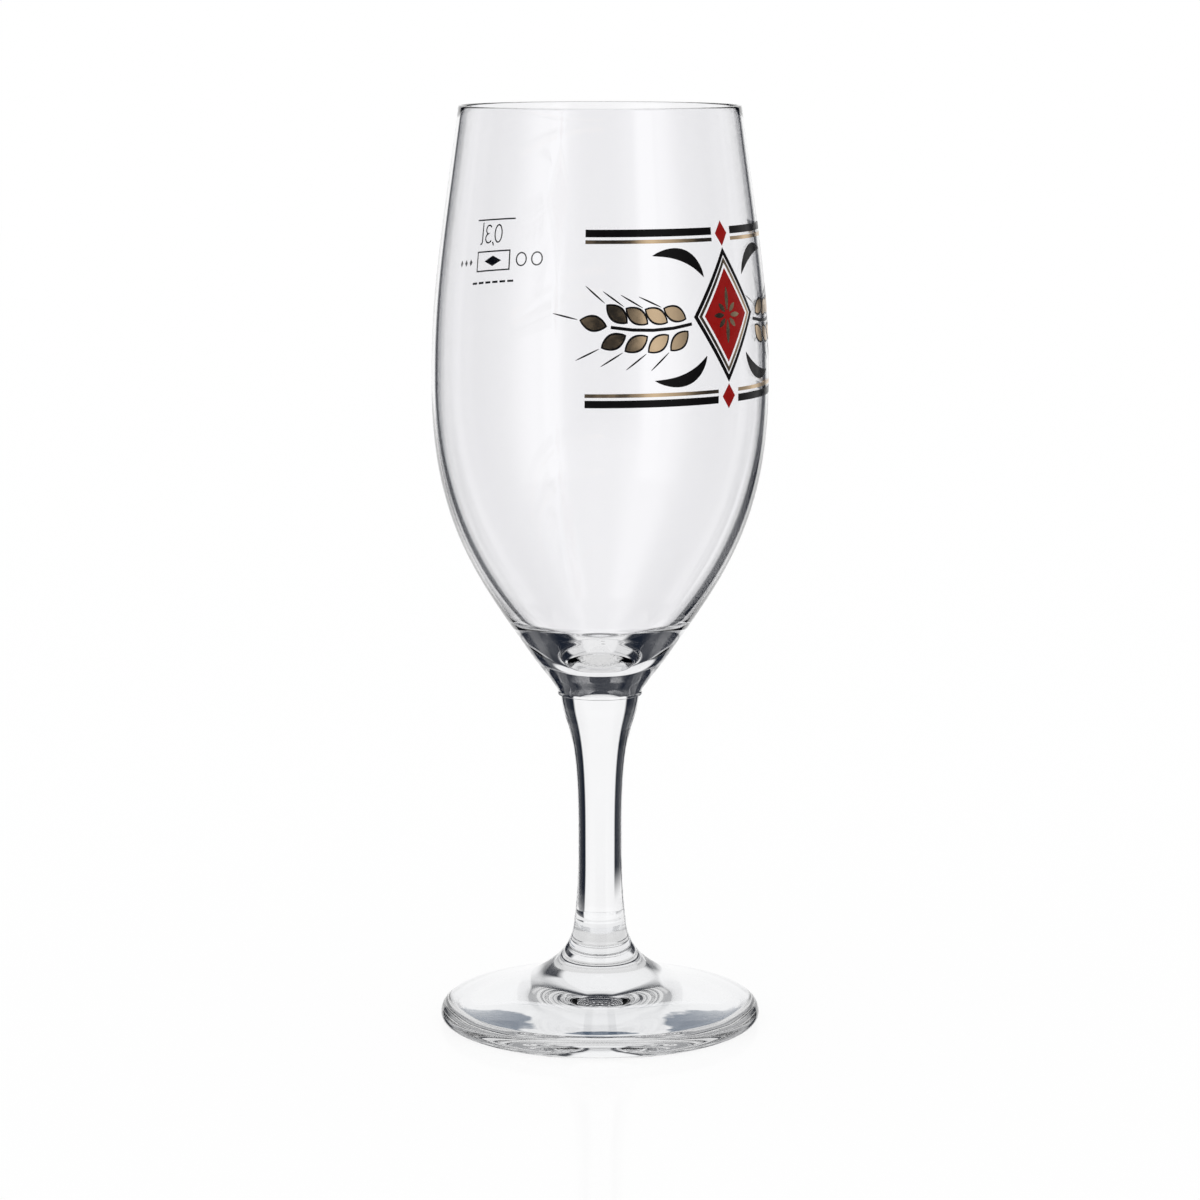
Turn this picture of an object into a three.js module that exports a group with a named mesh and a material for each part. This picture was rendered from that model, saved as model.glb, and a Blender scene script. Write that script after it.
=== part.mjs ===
// A stemmed beer goblet of clear soda-lime glass that holds 0.3 litre up to its fill line.
// It is three pieces of glass, fused hot one on another: a blown bowl, a pressed stem and a pressed foot.
// Millimetres, +Z up, with the origin on the table under the middle of the foot.

import * as THREE from 'three';

// Height of each piece along the axis, from seam to seam
const FOOT_HEIGHT = 23.6;
const STEM_LENGTH = 51.4;
const BOWL_HEIGHT = 131;

// Bowl, outside. Heights are above the bowl's own seam, leans are degrees from upright
const RIM_DIAMETER = 62.2;
const RIM_LEAN = 7.9;
const BELLY_DIAMETER = 74.7;
const BELLY_HEIGHT = 69.5;
const TAPER_END_DIAMETER = 30;
const TAPER_END_HEIGHT = 8.5;
const TAPER_LEAN = 34.5;
const NECK_DIAMETER = 18.6;
const NECK_LEAN = 27;

// Thin fin of glass left standing round the seam where the bowl was pressed on the stem
const FIN_PROUD = 0.15;
const FIN_HEIGHT = 0.35;
const FIN_FADE = 0.25;

// Bowl, inside. The wall is thin at the rim, swells on the way down and turns in to a solid bottom
const RIM_WALL = 1;
const BELLY_WALL = 1.3;
const CAVITY_END_DIAMETER = 37;
const CAVITY_END_HEIGHT = 18.4;
const CAVITY_LEAN = 37.3;
const FLOOR_THICKNESS = 8.4;
const FLOOR_FLAT_DIAMETER = 6.2;

// Stem: drawn in below the bowl, straight at the waist, flared again above the foot
const STEM_TOP_DIAMETER = 17.8;
const STEM_TOP_LEAN = 6;
const WAIST_DIAMETER = 9.85;
const WAIST_TOP = 20.1;
const WAIST_BOTTOM = 14.4;
const STEM_END_DIAMETER = 11.5;

// Foot: a disc with a rounded upright edge, swept up into a collar under the stem
const FOOT_DIAMETER = 72.2;
const COLLAR_DIAMETER = 11.7;
const EDGE_TOP = 4.9;
const EDGE_ROUNDING = 1.2;
const EDGE_SLOPE = 12.9;
const HEEL_ROUNDING = 1.5;
const REST_RING_WIDTH = 3;
const HOLLOW_DEPTH = 4.6;

// How far each curve keeps its starting direction, as a share of the height or width that it spans
const SHOULDER_PULL = 0.34;
const RIM_PULL = 0.49;
const BELLY_PULL = 0.5;
const TAPER_PULL = 0.36;
const NECK_PULL = 0.33;
const CAVITY_SIDE_PULL = 0.45;
const CAVITY_TAPER_PULL = 0.32;
const CAVITY_TURN_PULL = 0.2;
const CAVITY_FLOOR_PULL = 0.3;
const STEM_TOP_PULL = 0.27;
const WAIST_PULL = 0.8;
const COLLAR_PULL = 0.55;
const SWEEP_PULL = 0.63;
const HOLLOW_PULL = 0.55;

const SEGMENTS = 56;

const at = (radius, height) => new THREE.Vector2(radius, height);

// A step of the given length that leans out from upright by an angle in degrees
function leaning(degrees, length) {
  const angle = THREE.MathUtils.degToRad(degrees);
  return at(Math.sin(angle), Math.cos(angle)).multiplyScalar(length);
}

const line = (from, to) => [new THREE.LineCurve(from, to), 1];

const curve = (from, leave, arrive, to, steps) => [new THREE.CubicBezierCurve(from, leave, arrive, to), steps];

// A quarter turn from one point to another, round the corner where their tangents meet
function quarter(from, corner, to, steps) {
  const arcPull = 0.5523;
  return curve(from, from.clone().lerp(corner, arcPull), to.clone().lerp(corner, arcPull), to, steps);
}

// Points along a chain of stretches, each cut into its own number of steps
function outline(...stretches) {
  return stretches.flatMap(([path, steps], index) => path.getPoints(steps).slice(index === 0 ? 0 : 1));
}

// Turns an outline, which starts and ends on the axis, into a solid of clear glass
function glassPiece(name, points, colour, roughness) {
  const geometry = new THREE.LatheGeometry(points, SEGMENTS);
  geometry.rotateX(Math.PI / 2);
  const material = new THREE.MeshStandardMaterial({
    color: colour, roughness, metalness: 0, transparent: true, opacity: 0.35,
  });
  const piece = new THREE.Mesh(geometry, material);
  piece.name = name;
  return piece;
}

function makeBowl() {
  const finEdge = NECK_DIAMETER / 2 + FIN_PROUD;
  const neck = at(NECK_DIAMETER / 2, FIN_HEIGHT + FIN_FADE);
  const taperEnd = at(TAPER_END_DIAMETER / 2, TAPER_END_HEIGHT);
  const belly = at(BELLY_DIAMETER / 2, BELLY_HEIGHT);
  const lipHeight = BOWL_HEIGHT - RIM_WALL / 2;
  const lipOutside = at(RIM_DIAMETER / 2, lipHeight);
  const lipInside = at(RIM_DIAMETER / 2 - RIM_WALL, lipHeight);
  const lipTop = at(RIM_DIAMETER / 2 - RIM_WALL / 2, BOWL_HEIGHT);
  const bellyInside = at(BELLY_DIAMETER / 2 - BELLY_WALL, BELLY_HEIGHT);
  const turnIn = at(CAVITY_END_DIAMETER / 2, CAVITY_END_HEIGHT);
  const floorEdge = at(FLOOR_FLAT_DIAMETER / 2, FLOOR_THICKNESS);

  const neckRise = TAPER_END_HEIGHT - neck.y;
  const taperRise = BELLY_HEIGHT - TAPER_END_HEIGHT;
  const shoulderRise = lipHeight - BELLY_HEIGHT;
  const cavityRise = BELLY_HEIGHT - CAVITY_END_HEIGHT;
  const floorRise = CAVITY_END_HEIGHT - FLOOR_THICKNESS;
  const shoulderPull = at(0, SHOULDER_PULL * shoulderRise);
  const rimPull = at(1, -1).multiply(leaning(RIM_LEAN, RIM_PULL * shoulderRise));

  return glassPiece('bowl', outline(
    line(at(0, 0), at(finEdge, 0)),
    line(at(finEdge, 0), at(finEdge, FIN_HEIGHT)),
    line(at(finEdge, FIN_HEIGHT), neck),
    curve(
      neck, neck.clone().add(leaning(NECK_LEAN, NECK_PULL * neckRise)),
      taperEnd.clone().sub(leaning(TAPER_LEAN, NECK_PULL * neckRise)), taperEnd, 4,
    ),
    curve(
      taperEnd, taperEnd.clone().add(leaning(TAPER_LEAN, TAPER_PULL * taperRise)),
      at(belly.x, belly.y - BELLY_PULL * taperRise), belly, 10,
    ),
    curve(belly, belly.clone().add(shoulderPull), lipOutside.clone().add(rimPull), lipOutside, 6),
    quarter(lipOutside, at(lipOutside.x, lipTop.y), lipTop, 2),
    quarter(lipTop, at(lipInside.x, lipTop.y), lipInside, 2),
    curve(lipInside, lipInside.clone().add(rimPull), bellyInside.clone().add(shoulderPull), bellyInside, 6),
    curve(
      bellyInside, at(bellyInside.x, bellyInside.y - CAVITY_SIDE_PULL * cavityRise),
      turnIn.clone().add(leaning(CAVITY_LEAN, CAVITY_TAPER_PULL * cavityRise)), turnIn, 9,
    ),
    curve(
      turnIn, turnIn.clone().sub(leaning(CAVITY_LEAN, CAVITY_TURN_PULL * floorRise)),
      at(floorEdge.x + CAVITY_FLOOR_PULL * (turnIn.x - floorEdge.x), floorEdge.y), floorEdge, 7,
    ),
    line(floorEdge, at(0, FLOOR_THICKNESS)),
  ), 0xf1f4f6, 0.03);
}

function makeStem() {
  const end = at(STEM_END_DIAMETER / 2, 0);
  const waistBottom = at(WAIST_DIAMETER / 2, WAIST_BOTTOM);
  const waistTop = at(WAIST_DIAMETER / 2, WAIST_TOP);
  const top = at(STEM_TOP_DIAMETER / 2, STEM_LENGTH);
  const drawnIn = STEM_LENGTH - WAIST_TOP;
  const flareCorner = at(waistBottom.x, WAIST_BOTTOM / 2);

  return glassPiece('stem', outline(
    line(at(0, 0), end),
    [new THREE.QuadraticBezierCurve(end, flareCorner, waistBottom), 4],
    line(waistBottom, waistTop),
    curve(
      waistTop, at(waistTop.x, waistTop.y + WAIST_PULL * drawnIn),
      top.clone().sub(leaning(STEM_TOP_LEAN, STEM_TOP_PULL * drawnIn)), top, 8,
    ),
    line(top, at(0, STEM_LENGTH)),
  ), 0xeef2f4, 0.03);
}

function makeFoot() {
  const edge = FOOT_DIAMETER / 2;
  const heel = at(edge - HEEL_ROUNDING, 0);
  const heelTop = at(edge, HEEL_ROUNDING);
  const shoulder = at(edge, EDGE_TOP - EDGE_ROUNDING);
  const edgeTop = at(edge - EDGE_ROUNDING, EDGE_TOP);
  const restInside = at(heel.x - REST_RING_WIDTH, 0);
  const collar = at(COLLAR_DIAMETER / 2, FOOT_HEIGHT);
  const slope = leaning(90 - EDGE_SLOPE, SWEEP_PULL * (edgeTop.x - collar.x));

  return glassPiece('foot', outline(
    curve(
      at(0, HOLLOW_DEPTH), at(HOLLOW_PULL * restInside.x, HOLLOW_DEPTH),
      restInside.clone().lerp(at(0, HOLLOW_DEPTH), 1 - HOLLOW_PULL), restInside, 8,
    ),
    line(restInside, heel),
    quarter(heel, at(edge, 0), heelTop, 3),
    line(heelTop, shoulder),
    quarter(shoulder, at(edge, EDGE_TOP), edgeTop, 3),
    curve(
      edgeTop, at(edgeTop.x - slope.x, edgeTop.y + slope.y),
      at(collar.x, FOOT_HEIGHT - COLLAR_PULL * (FOOT_HEIGHT - EDGE_TOP)), collar, 10,
    ),
    line(collar, at(0, FOOT_HEIGHT)),
  ), 0xeaf1f3, 0.04);
}

const foot = makeFoot();

const stem = makeStem();
stem.position.z = FOOT_HEIGHT;

const bowl = makeBowl();
bowl.position.z = FOOT_HEIGHT + STEM_LENGTH;

const goblet = new THREE.Group();
goblet.add(foot, stem, bowl);

export default goblet;
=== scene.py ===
"""Dresses a stemmed beer goblet: clear glass, a printed frieze and a fill mark, on a white stage."""

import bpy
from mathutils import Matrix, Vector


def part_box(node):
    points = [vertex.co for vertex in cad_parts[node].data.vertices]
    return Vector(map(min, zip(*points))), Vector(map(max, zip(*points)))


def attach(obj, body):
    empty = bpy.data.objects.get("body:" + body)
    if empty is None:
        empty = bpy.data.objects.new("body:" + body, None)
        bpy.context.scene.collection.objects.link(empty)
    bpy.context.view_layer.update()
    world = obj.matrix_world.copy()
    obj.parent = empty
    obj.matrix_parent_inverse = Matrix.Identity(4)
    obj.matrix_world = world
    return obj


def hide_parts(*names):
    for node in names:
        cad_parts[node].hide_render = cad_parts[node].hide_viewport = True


bl_info = {
    "name": "Beer Goblet",
    "version": (1, 0, 0),
    "blender": (4, 5, 0),
    "location": "3D View > Sidebar > Goblet",
    "description": "Makes a stemmed beer goblet of clear glass with its print, and a white stage for it",
    "category": "Add Mesh",
}

import math
from bisect import bisect_right

import bmesh
import bpy
from bpy.props import FloatProperty, FloatVectorProperty, IntProperty, PointerProperty
from bpy.types import Operator, Panel, PropertyGroup
from mathutils import Matrix, Vector

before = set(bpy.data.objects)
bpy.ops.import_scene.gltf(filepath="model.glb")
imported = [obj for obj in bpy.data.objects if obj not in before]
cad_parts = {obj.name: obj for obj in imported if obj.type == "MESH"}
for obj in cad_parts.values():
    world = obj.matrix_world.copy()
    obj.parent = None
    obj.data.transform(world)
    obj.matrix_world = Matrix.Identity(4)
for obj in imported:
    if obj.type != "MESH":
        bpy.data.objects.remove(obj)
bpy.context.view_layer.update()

MM = 0.001
BODY = "root"
BOWL_LOW, BOWL_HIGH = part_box("bowl")
STEM_LOW, STEM_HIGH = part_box("stem")
FOOT_LOW, FOOT_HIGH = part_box("foot")


# Sizes and colours that a user can change


def length(label, note, metres):
    """A size that is shown in the scene's units."""
    return FloatProperty(name=label, description=note, default=metres, unit="LENGTH", precision=5)


def angle(label, note, degrees):
    """An angle that is kept in radians and shown in degrees."""
    return FloatProperty(name=label, description=note, default=math.radians(degrees), subtype="ANGLE")


def colour(label, note, value):
    """A linear colour."""
    limits = {"min": 0, "max": 1, "size": 3}
    return FloatVectorProperty(name=label, description=note, default=value, subtype="COLOR", **limits)


class GobletGlass(PropertyGroup):
    """What the three pieces of glass share"""

    segments: IntProperty(name="Segments", description="Facets round each piece", default=192, min=24)
    bowl_tint: colour("Bowl tint", "Tint of light at each face of the bowl", (0.988, 0.986, 1.0))
    stem_tint: colour("Stem tint", "Tint of light at each face of the stem", (0.965, 0.966, 0.976))
    foot_tint: colour("Foot tint", "Tint of light at each face of the foot", (0.96, 0.967, 0.98))
    waviness: length("Waviness", "Height of the slow waves that blowing leaves in a wall", 0.012 * MM)


class GobletBowl(PropertyGroup):
    """The blown bowl, with heights above its own seam"""

    seam: length("Seam", "Height of the seam between stem and bowl", BOWL_LOW.z)
    height: length("Height", "From the seam to the rim", BOWL_HIGH.z - BOWL_LOW.z)
    belly_diameter: length("Belly", "Across the widest part", BOWL_HIGH.x - BOWL_LOW.x)
    belly_height: length("Belly height", "From the seam to the widest part", 69.5 * MM)
    rim_diameter: length("Rim", "Across the outside of the rim", 62.2 * MM)
    rim_lean: angle("Rim lean", "Lean of the wall at the rim, inwards", 7.9)
    taper_end_diameter: length("Taper end", "Across the lower end of the taper", 30 * MM)
    taper_end_height: length("Taper end height", "From the seam to the lower end of the taper", 8.5 * MM)
    taper_lean: angle("Taper lean", "Lean of the wall at the lower end of the taper", 34.5)
    neck_diameter: length("Neck", "Across the bowl just above the seam", 18.6 * MM)
    neck_lean: angle("Neck lean", "Lean of the wall just above the seam", 27)
    rim_wall: length("Rim wall", "Thickness of the wall at the rim", 1.0 * MM)
    belly_wall: length("Belly wall", "Thickness of the wall at the belly", 1.3 * MM)
    cavity_end_diameter: length("Cavity end", "Across the inside where its taper turns in", 37 * MM)
    cavity_end_height: length("Cavity end height", "From the seam to where the inside turns in", 18.4 * MM)
    cavity_lean: angle("Cavity lean", "Lean of the inside where it turns in", 37.3)
    floor_thickness: length("Floor", "Glass between the seam and the inside of the bowl", 8.4 * MM)
    floor_diameter: length("Floor flat", "Across the level middle of the inside", 6.2 * MM)
    etched_ring: length("Etched ring", "Across the ring of etched dots on the floor", 6 * MM)
    etched_dot: length("Etched dot", "Across one etched dot", 0.45 * MM)
    etched_dots: IntProperty(name="Etched dots", description="Dots round the etched ring", default=26, min=3)
    fin_proud: length("Fin", "How far the fin at the seam stands out", 0.15 * MM)
    fin_height: length("Fin height", "Height of the fin's upright edge", 0.35 * MM)
    fin_fade: length("Fin fade", "Height over which the fin fades into the neck", 0.25 * MM)


class GobletStem(PropertyGroup):
    """The pressed stem, with heights above its own seam"""

    seam: length("Seam", "Height of the seam between foot and stem", STEM_LOW.z)
    length: length("Length", "From seam to seam", STEM_HIGH.z - STEM_LOW.z)
    top_diameter: length("Top", "Across the stem under the bowl", STEM_HIGH.x - STEM_LOW.x)
    top_lean: angle("Top lean", "Lean of the side under the bowl", 6)
    waist_diameter: length("Waist", "Across the slimmest part", 9.85 * MM)
    waist_top: length("Waist top", "Height where the straight waist ends", 20.1 * MM)
    waist_bottom: length("Waist bottom", "Height where the straight waist starts", 14.4 * MM)
    end_diameter: length("End", "Across the stem above the foot", 11.5 * MM)


class GobletFoot(PropertyGroup):
    """The pressed foot"""

    height: length("Height", "From the table to the seam", FOOT_HIGH.z - FOOT_LOW.z)
    diameter: length("Diameter", "Across the foot", FOOT_HIGH.x - FOOT_LOW.x)
    collar_diameter: length("Collar", "Across the collar under the stem", 11.7 * MM)
    edge_top: length("Edge", "Height of the upright edge", 4.9 * MM)
    edge_rounding: length("Edge rounding", "Radius along the top of the edge", 3 * MM)
    edge_slope: angle("Edge slope", "Slope of the upper side at the edge", 12.9)
    heel_rounding: length("Heel rounding", "Radius along the bottom of the edge", 1.8 * MM)
    rest_width: length("Rest ring", "Width of the flat ring that the foot stands on", 3 * MM)
    hollow_depth: length("Hollow", "Depth of the hollow underneath", 4.6 * MM)


class GobletPrint(PropertyGroup):
    """The fired-on print"""

    film: length("Film", "Thickness of one pass of ink", 0.015 * MM)
    clearance: length("Clearance", "Room that keeps facets of glass and ink apart", 0.012 * MM)
    black: colour("Black", "Black ink", (0.006, 0.0055, 0.006))
    gold: colour("Gold", "Gold ink", (0.9, 0.67, 0.43))
    red: colour("Red", "Red ink", (0.32, 0.006, 0.005))
    frieze_azimuth: angle("Frieze azimuth", "Middle of the frieze, round from the front", 48)
    frieze_height: length("Frieze height", "Middle of the frieze above the table", 162 * MM)
    mark_azimuth: angle("Mark azimuth", "Middle of the fill line, round from the front", 224.4)
    mark_height: length("Mark height", "Fill line above the table", 179.5 * MM)
    mark_length: length("Mark length", "Length of the fill line", 12.1 * MM)
    numeral_height: length("Numerals", "Height of the capacity's numerals", 4.0 * MM)


class GobletStage(PropertyGroup):
    """Camera, floor and surroundings"""

    lens: FloatProperty(name="Lens", description="Focal length, 36 mm sensor", default=113.8, unit="CAMERA")
    distance: length("Distance", "From the goblet's axis to the camera", 838.2 * MM)
    eye_height: length("Eye height", "Camera above the table", 228.9 * MM)
    pitch: angle("Pitch", "How far the camera looks down", 9)
    floor_reach: length("Floor reach", "Half the width of the floor", 3)
    white: colour("White", "Backdrop and table as the camera sees them", (1, 1, 1))
    flag: colour("Flag", "Dark flags beside the backdrop", (0.012, 0.016, 0.026))


class GobletSettings(PropertyGroup):
    """Everything that the goblet is made from"""

    glass: PointerProperty(type=GobletGlass)
    bowl: PointerProperty(type=GobletBowl)
    stem: PointerProperty(type=GobletStem)
    foot: PointerProperty(type=GobletFoot)
    ink: PointerProperty(type=GobletPrint)
    stage: PointerProperty(type=GobletStage)


# Shader maths


class Wire:
    """An output of a shader node. Arithmetic on wires adds Math nodes to the graph."""

    def __init__(self, graph, socket):
        self.graph = graph
        self.socket = socket

    def math(self, operation, first, second):
        return self.graph.node("ShaderNodeMath", {"operation": operation}, {0: first, 1: second})["Value"]

    def __add__(self, other):
        return self.math("ADD", self, other)

    def __radd__(self, other):
        return self.math("ADD", other, self)

    def __sub__(self, other):
        return self.math("SUBTRACT", self, other)

    def __rsub__(self, other):
        return self.math("SUBTRACT", other, self)

    def __mul__(self, other):
        return self.math("MULTIPLY", self, other)

    def __rmul__(self, other):
        return self.math("MULTIPLY", other, self)


class Graph:
    """A node tree that is filled through one method."""

    def __init__(self, tree):
        tree.nodes.clear()
        self.tree = tree

    def node(self, kind, settings=None, sockets=None):
        """Adds a node, sets it up, fills its sockets by name or number, and returns its outputs by name."""
        made = self.tree.nodes.new(kind)
        for name, value in (settings or {}).items():
            setattr(made, name, value)
        for key, value in (sockets or {}).items():
            self.fill(self.find(made.inputs, key), value)
        return {output.name: Wire(self, output) for output in made.outputs if output.enabled}

    def find(self, inputs, key):
        if isinstance(key, int):
            return inputs[key]
        return next(socket for socket in inputs if socket.enabled and socket.name == key)

    def fill(self, socket, value):
        if isinstance(value, Wire):
            self.tree.links.new(value.socket, socket)
        elif socket.type == "RGBA":
            socket.default_value = (*value, 1)
        else:
            socket.default_value = value

    def mix(self, factor, low, high):
        """Blends two colours."""
        inputs = {"Factor": factor, "A": low, "B": high}
        return self.node("ShaderNodeMix", {"data_type": "RGBA", "clamp_factor": False}, inputs)["Result"]

    def most(self, first, second):
        """The larger of two values."""
        return self.node("ShaderNodeMath", {"operation": "MAXIMUM"}, {0: first, 1: second})["Value"]

    def over(self, value, limit):
        """1 where a value is over a limit, else 0."""
        return self.node("ShaderNodeMath", {"operation": "GREATER_THAN"}, {0: value, 1: limit})["Value"]

    def ramp(self, value, start, end, low=0, high=1):
        """Takes a value smoothly from low at the start to high at the end."""
        inputs = {"Value": value, "From Min": start, "From Max": end, "To Min": low, "To Max": high}
        return self.node("ShaderNodeMapRange", {"interpolation_type": "SMOOTHSTEP"}, inputs)["Result"]

    def facing(self):
        """0 where a surface is seen square on, rising to 1 where it is seen along its face."""
        return self.node("ShaderNodeLayerWeight", None, {"Blend": 0.5})["Facing"]

    def noise(self, vector, scale, detail=2.0):
        """Soft clouds over a surface."""
        inputs = {"Vector": vector, "Scale": scale, "Detail": detail}
        return self.node("ShaderNodeTexNoise", None, inputs)["Fac"]


def new_material(name):
    """An empty procedural material and its graph."""
    material = bpy.data.materials.new(name)
    material.use_nodes = True
    return material, Graph(material.node_tree)


def finish_material(graph, surface):
    """Shows a surface shader."""
    graph.node("ShaderNodeOutputMaterial", None, {"Surface": surface})


# Materials


def clear_glass(name, tint, waviness):
    """Clear glass with faint cords in its tint and slow waves in its face."""
    material, graph = new_material(name)
    place = graph.node("ShaderNodeTexCoord")["Object"]
    cords = graph.node("ShaderNodeMapping", None, {"Vector": place, "Scale": (1, 1, 0.25)})["Vector"]
    wave = graph.noise(cords, 70)
    paler = [1 - 0.6 * (1 - part) for part in tint]
    bump = {"Strength": 1.0, "Distance": waviness, "Height": wave}
    glass = {
        "Base Color": graph.mix(wave, tint, paler),
        "Roughness": 0.0,
        "IOR": 1.5,
        "Transmission Weight": 1.0,
        "Normal": graph.node("ShaderNodeBump", None, bump)["Normal"],
    }
    finish_material(graph, graph.node("ShaderNodeBsdfPrincipled", None, glass)["BSDF"])
    return material


def fused_seam():
    """Where two pieces of glass were melted together: clear, with a few specks caught in it."""
    material, graph = new_material("fused_seam")
    place = graph.node("ShaderNodeTexCoord")["Object"]
    speck = graph.noise(place, 1100, 0.0)
    seam = {
        "Base Color": graph.mix(speck, (0.25, 0.25, 0.27), (0.9, 0.92, 0.93)),
        "Roughness": 0.3,
        "Alpha": graph.ramp(speck, 0.78, 0.84, 0, 0.6),
    }
    finish_material(graph, graph.node("ShaderNodeBsdfPrincipled", None, seam)["BSDF"])
    return material


def frosting():
    """Glass that a laser has roughened."""
    material, graph = new_material("frosted_glass")
    place = graph.node("ShaderNodeTexCoord")["Object"]
    grain = graph.noise(place, 6000)
    frost = {
        "Base Color": graph.mix(grain, (0.72, 0.78, 0.79), (0.97, 0.99, 0.99)),
        "Roughness": graph.ramp(grain, 0.3, 0.7, 0.45, 0.7),
        "Transmission Weight": 0.5,
    }
    finish_material(graph, graph.node("ShaderNodeBsdfPrincipled", None, frost)["BSDF"])
    return material


def fired_ink(name, tone, roughness, metallic):
    """Fired-on ink: a thin film with a fine grain, a little thinner in places."""
    material, graph = new_material(name)
    place = graph.node("ShaderNodeTexCoord")["Object"]
    grain = graph.noise(place, 5200, 1.0)
    cloud = graph.noise(place, 420)
    worn = [part * 0.8 for part in tone]
    bump = {"Strength": 0.25, "Distance": 0.01 * MM, "Height": grain}
    ink = {
        "Base Color": graph.mix(cloud, worn, tone),
        "Roughness": graph.ramp(cloud, 0.3, 0.7, roughness * 0.8, roughness * 1.2),
        "Metallic": metallic,
        "Specular IOR Level": 0.12,
        "Normal": graph.node("ShaderNodeBump", None, bump)["Normal"],
    }
    finish_material(graph, graph.node("ShaderNodeBsdfPrincipled", None, ink)["BSDF"])
    return material


# How much of the table is plain white to the camera, near the goblet and far away, and the facings between
TABLE_GLOW = (0.88, 1)
GLOW_FACING = (0.84, 0.95)


def white_table(stage):
    """A pale glossy table that the camera sees almost white, with a soft shadow and a faint mirror image."""
    material, graph = new_material("white_table")
    place = graph.node("ShaderNodeTexCoord")["Object"]
    gloss = {
        "Base Color": (0.97, 0.97, 0.97),
        "Roughness": graph.ramp(graph.noise(place, 9), 0.3, 0.7, 0.05, 0.08),
    }
    table = graph.node("ShaderNodeBsdfPrincipled", None, gloss)["BSDF"]
    glow = graph.node("ShaderNodeEmission", None, {"Color": stage.white, "Strength": 1.0})["Emission"]
    camera = graph.node("ShaderNodeLightPath")["Is Camera Ray"]
    glowing = camera * graph.ramp(graph.facing(), *GLOW_FACING, *TABLE_GLOW)
    shown = graph.node("ShaderNodeMixShader", None, {0: glowing, 1: table, 2: glow})["Shader"]
    finish_material(graph, shown)
    return material


# The table under the foot, a glowing disc of painted light: its painted tones in the open, in painted shade
# and after a bounce, and how bright the last is
PAINTED_LIGHT_TONE = (0.9, 0.9, 0.9)
PAINTED_SHADE_TONE = (0.06, 0.1, 0.16)
PAINTED_BOUNCE_TONE = (1, 0.995, 0.985)
PAINTED_BOUNCE_LEVEL = 0.76
PAINTED_BOUNCE_FRONT = -20 * MM

# Its painted shade spots, which show at low angles: middle right and back, half widths and depth
PAINTED_SHADE_FACING = (0.6, 0.76)
PAINTED_TABLE_SHADES = (
    (-26 * MM, -14 * MM, 11 * MM, 16 * MM, 1.0),
    (24 * MM, -13 * MM, 10 * MM, 15 * MM, 1.0),
    (-18 * MM, 33 * MM, 6 * MM, 6 * MM, 0.6),
    (14 * MM, 34 * MM, 9 * MM, 6 * MM, 0.65),
    (0, -23 * MM, 8 * MM, 2.5 * MM, 0.95),
)


def painted_table_glow(stage):
    """The table as it shows through the foot, painted as a glow: pale painted light, with painted soft shades
    where the glass above it would throw shade.
    """
    material, graph = new_material("painted_table_glow")
    place = graph.node("ShaderNodeTexCoord")["Object"]
    axes = graph.node("ShaderNodeSeparateXYZ", None, {"Vector": place})
    # Painted shade: faint soft clouds and dark spots, faded where the disc is seen more square on
    shade = graph.noise(place, 60) * 0.12
    ripple = (graph.noise(place, 150, 3.0) - 0.5) * 1.6
    for across, along, half_across, half_along, depth in PAINTED_TABLE_SHADES:
        right = (axes["X"] - across) * (1 / half_across)
        back = (axes["Y"] - along) * (1 / half_along)
        spread = right * right + back * back + ripple
        shade = graph.most(shade, graph.ramp(spread, 0.85, 1.2, depth, 0))
    shade = shade * graph.ramp(graph.facing(), *PAINTED_SHADE_FACING)
    direct = graph.mix(shade, PAINTED_LIGHT_TONE, PAINTED_SHADE_TONE)
    # Painted reflection after a glossy bounce inside the glass: the dark of the flags in front, pale behind,
    # and evenly pale after two bounces or more
    path = graph.node("ShaderNodeLightPath")
    behind = graph.ramp(axes["Y"], PAINTED_BOUNCE_FRONT, 0, 0, PAINTED_BOUNCE_LEVEL)
    again = graph.over(path["Glossy Depth"], 1.5)
    bounced = behind + (PAINTED_BOUNCE_LEVEL - behind) * again
    indirect = graph.mix(bounced, stage.flag, PAINTED_BOUNCE_TONE)
    tone = graph.mix(graph.over(path["Glossy Depth"], 0.5), direct, indirect)
    glow = graph.node("ShaderNodeEmission", None, {"Color": tone, "Strength": 1.0})["Emission"]
    finish_material(graph, glow)
    return material


# Curves and turned shapes


def at(radius, height):
    return Vector((radius, height))


def leaning(lean, reach):
    """A step that leans out from upright."""
    return at(math.sin(lean), math.cos(lean)) * reach


def curve(start, leave, arrive, end, steps):
    """Points of a cubic curve after its start."""
    points = []
    for step in range(1, steps + 1):
        t = step / steps
        s = 1 - t
        points.append(start * s ** 3 + leave * (3 * s * s * t) + arrive * (3 * s * t * t) + end * t ** 3)
    return points


def straight(start, end, steps):
    """Points of a straight line after its start."""
    return [start.lerp(end, step / steps) for step in range(1, steps + 1)]


def quarter(start, corner, end, steps):
    """A quarter turn round the corner where the tangents of its ends meet."""
    arc_pull = 0.5523
    return curve(start, start.lerp(corner, arc_pull), end.lerp(corner, arc_pull), end, steps)


def turn(name, profile, segments):
    """Turns an outline that starts and ends on the axis into a closed mesh."""
    if profile[0].x != 0 or profile[-1].x != 0:
        raise ValueError(f"the outline of {name} doesn't start and end on the axis")
    mesh = bmesh.new()
    rings = []
    for point in profile:
        count = 1 if point.x == 0 else segments
        turns = [2 * math.pi * step / segments for step in range(count)]
        rings.append([mesh.verts.new((point.x * math.cos(a), point.x * math.sin(a), point.y)) for a in turns])
    for lower, upper in zip(rings, rings[1:]):
        for step in range(segments):
            after = (step + 1) % segments
            corners = [lower[step % len(lower)], lower[after % len(lower)]]
            corners += [upper[after % len(upper)], upper[step % len(upper)]]
            mesh.faces.new(list(dict.fromkeys(corners)))
    return finish_mesh(name, mesh)


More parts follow.
